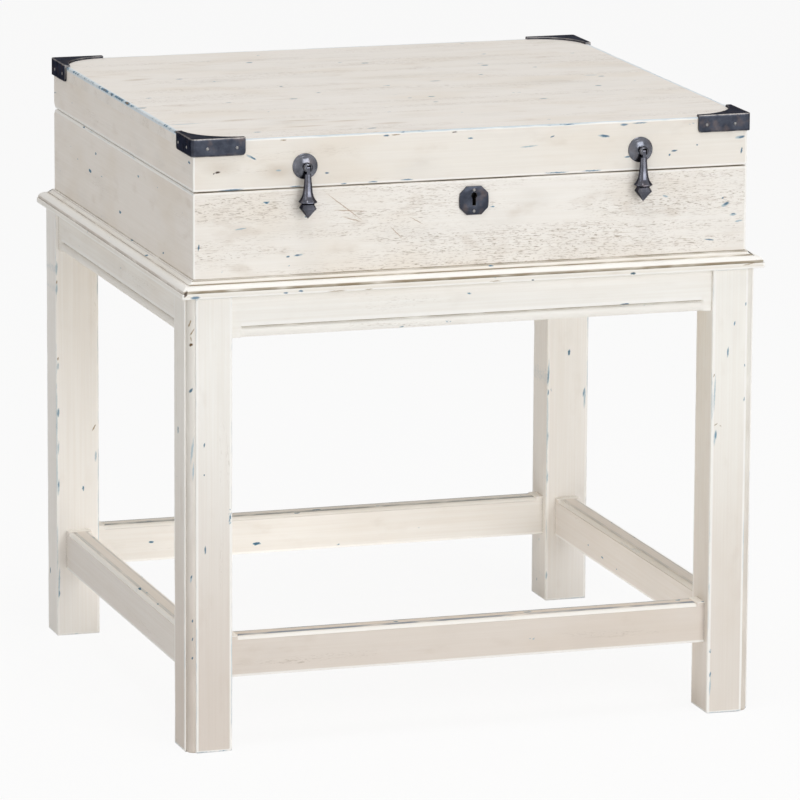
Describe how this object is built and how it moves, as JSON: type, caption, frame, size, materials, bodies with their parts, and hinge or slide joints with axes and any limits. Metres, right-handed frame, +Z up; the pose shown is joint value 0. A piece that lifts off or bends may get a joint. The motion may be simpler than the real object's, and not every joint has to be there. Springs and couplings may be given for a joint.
{
  "type": "end table",
  "caption": "End table with a hinged lift-top storage box on a moulded rim, square legs joined by aprons and low stretchers, iron corner brackets, drop pulls and a lock plate.",
  "frame": {"origin": "on the floor, under the middle of the table", "axes": "+Z up, +X to the right as seen from the front, -Y towards the front with the pulls, +Y towards the hinges"},
  "size_m": [0.627, 0.5824, 0.6354],
  "materials": {
    "painted_pine": "distressed off-white paint with a brown glaze, satin",
    "bare_pine": "unpainted, planed",
    "blackened_iron": "blackened, rubbed bright on the edges",
    "steel": "plain steel hardware",
    "felt": "brown felt"
  },
  "bodies": {
    "stand": {"apron_back": "painted_pine", "apron_front": "painted_pine", "apron_left": "painted_pine", "apron_right": "painted_pine", "block_screws": "steel", "box_back": "painted_pine", "box_bottom": "bare_pine", "box_front": "painted_pine", "box_left": "painted_pine", "box_right": "painted_pine", "box_screws": "steel", "corner_block_back_left": "bare_pine", "corner_block_back_right": "bare_pine", "corner_block_front_left": "bare_pine", "corner_block_front_right": "bare_pine", "escutcheon": "blackened_iron", "escutcheon_nails": "blackened_iron", "hinge_leaf_box_left": "steel", "hinge_leaf_box_right": "steel", "hinge_pin_left": "steel", "hinge_pin_right": "steel", "hinge_screws_box": "steel", "leg_back_left": "painted_pine", "leg_back_right": "painted_pine", "leg_front_left": "painted_pine", "leg_front_right": "painted_pine", "lid_bumpers": "felt", "rim_back": "painted_pine", "rim_front": "painted_pine", "rim_left": "painted_pine", "rim_right": "painted_pine", "stretcher_back": "painted_pine", "stretcher_front": "painted_pine", "stretcher_left": "painted_pine", "stretcher_right": "painted_pine"},
    "lid": {"bracket_nails": "blackened_iron", "corner_bracket_back_left": "blackened_iron", "corner_bracket_back_right": "blackened_iron", "corner_bracket_front_left": "blackened_iron", "corner_bracket_front_right": "blackened_iron", "hinge_leaf_lid_left": "steel", "hinge_leaf_lid_right": "steel", "hinge_screws_lid": "steel", "lid_back": "painted_pine", "lid_front": "painted_pine", "lid_left": "painted_pine", "lid_right": "painted_pine", "lid_top": "painted_pine", "pull_nuts": "steel", "pull_pin_left": "blackened_iron", "pull_pin_right": "blackened_iron", "pull_post_left": "blackened_iron", "pull_post_right": "blackened_iron", "pull_rosette_left": "blackened_iron", "pull_rosette_right": "blackened_iron"},
    "left_drop": {"pull_drop_left": "blackened_iron"},
    "right_drop": {"pull_drop_right": "blackened_iron"}
  },
  "joints": [
    {"name": "lid_hinge", "type": "hinge", "parent": "stand", "child": "lid", "pos_m": [0, 0.2675, 0.5804], "axis": [-1, 0, 0], "range_deg": [0, 100]},
    {"name": "left_drop_swing", "type": "hinge", "parent": "lid", "child": "left_drop", "pos_m": [-0.18, -0.284, 0.6024], "axis": [-1, 0, 0], "range_deg": [-2, 90]},
    {"name": "right_drop_swing", "type": "hinge", "parent": "lid", "child": "right_drop", "pos_m": [0.18, -0.284, 0.6024], "axis": [-1, 0, 0], "range_deg": [-2, 90]}
  ]
}
